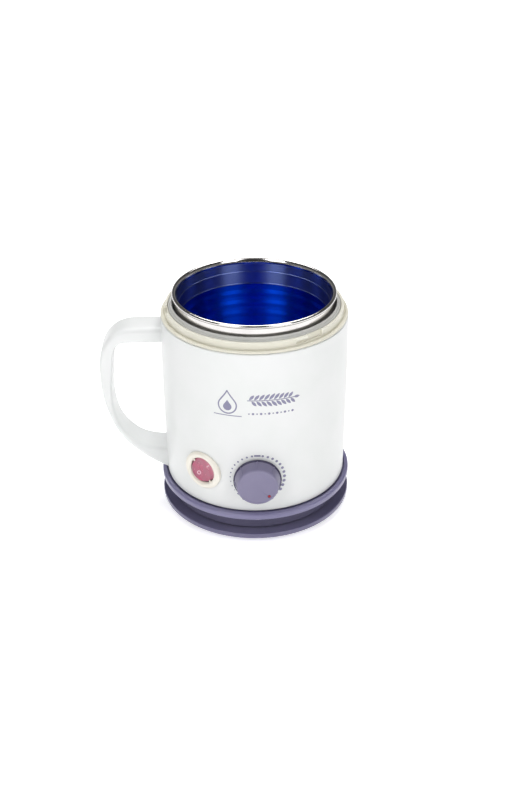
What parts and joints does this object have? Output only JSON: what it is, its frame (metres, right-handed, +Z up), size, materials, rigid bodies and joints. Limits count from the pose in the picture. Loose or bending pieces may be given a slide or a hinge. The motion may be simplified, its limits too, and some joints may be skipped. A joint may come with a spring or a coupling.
{
  "type": "wax warmer pot",
  "caption": "Electric wax warmer shaped like a mug: white casing, lift-out blue-lined pot, heat dial, lit rocker, side handle and a spool base for the cord.",
  "frame": {"origin": "centre of the footprint at table level, on the pot's axis", "axes": "+Z up; the heat dial faces -Y; the handle points to -X"},
  "size_m": [0.1651, 0.1342, 0.1532],
  "materials": {
    "white_plastic": "glossy, faintly warm white",
    "cream_plastic": "satin cream",
    "grey_silicone": "matte grey silicone",
    "black_rubber": "matte black rubber",
    "purple_plastic": "satin muted purple",
    "plum_plastic": "satin dark plum",
    "red_plastic": "glossy red",
    "rocker_plastic": "translucent pinkish red",
    "steel": "zinc plated",
    "aluminium": "spun aluminium",
    "pot_metal": "polished rim, blue lacquered inside",
    "copper": "bare copper and brass",
    "heater_silicone": "orange-brown silicone mat",
    "fibre": "woven glass fibre",
    "lamp_glass": "clear lamp glass",
    "black_plastic": "moulded black plastic",
    "wire_blue": "blue insulation",
    "wire_brown": "brown insulation"
  },
  "bodies": {
    "root": {"outer_shell": "white_plastic", "handle": "white_plastic", "collar_ring": "cream_plastic", "rim_gasket": "grey_silicone", "handle_screw_upper": "steel", "handle_screw_lower": "steel", "heating_well": "aluminium", "collar_screw_1": "steel", "collar_screw_2": "steel", "collar_screw_3": "steel", "heater_band": "heater_silicone", "heater_strap": "steel", "insulation_sleeve": "fibre", "sensor_bulb": "copper", "sensor_clip": "steel", "thermal_fuse": "steel", "fuse_clip": "steel", "thermostat_body": "black_plastic", "thermostat_nut": "steel", "switch_bezel": "cream_plastic", "switch_housing": "black_plastic", "neon_lamp": "lamp_glass", "switch_terminal_1": "copper", "switch_terminal_2": "copper", "switch_terminal_3": "copper", "base_flange_upper": "purple_plastic", "base_drum": "plum_plastic", "base_flange_lower": "purple_plastic", "base_screw_1": "steel", "base_screw_2": "steel", "base_screw_3": "steel", "base_screw_4": "steel", "foot_1": "black_rubber", "foot_2": "black_rubber", "foot_3": "black_rubber", "foot_4": "black_rubber", "foot_centre": "black_rubber", "cord_inlet": "black_plastic", "terminal_block": "cream_plastic", "wire_block_to_switch": "wire_blue", "wire_switch_to_thermostat": "wire_brown", "wire_block_to_fuse": "wire_brown", "capillary_tube": "copper"},
    "pot": {"insert_pot": "pot_metal"},
    "dial": {"temperature_knob": "purple_plastic", "knob_pointer": "red_plastic", "thermostat_shaft": "aluminium"},
    "rocker": {"power_rocker": "rocker_plastic"}
  },
  "joints": [
    {"name": "pot_lift", "type": "slide", "parent": "root", "child": "pot", "axis": [0, 0, 1], "range_m": [0, 0.12]},
    {"name": "dial_turn", "type": "hinge", "parent": "root", "child": "dial", "pos_m": [0, -0.0606, 0.0489], "axis": [0, -1, 0], "range_deg": [0, 270]},
    {"name": "rocker_tilt", "type": "hinge", "parent": "root", "child": "rocker", "pos_m": [-0.03241, -0.04628, 0.0495], "axis": [0.5792, -0.4056, -0.7071], "range_deg": [0, 16]}
  ]
}
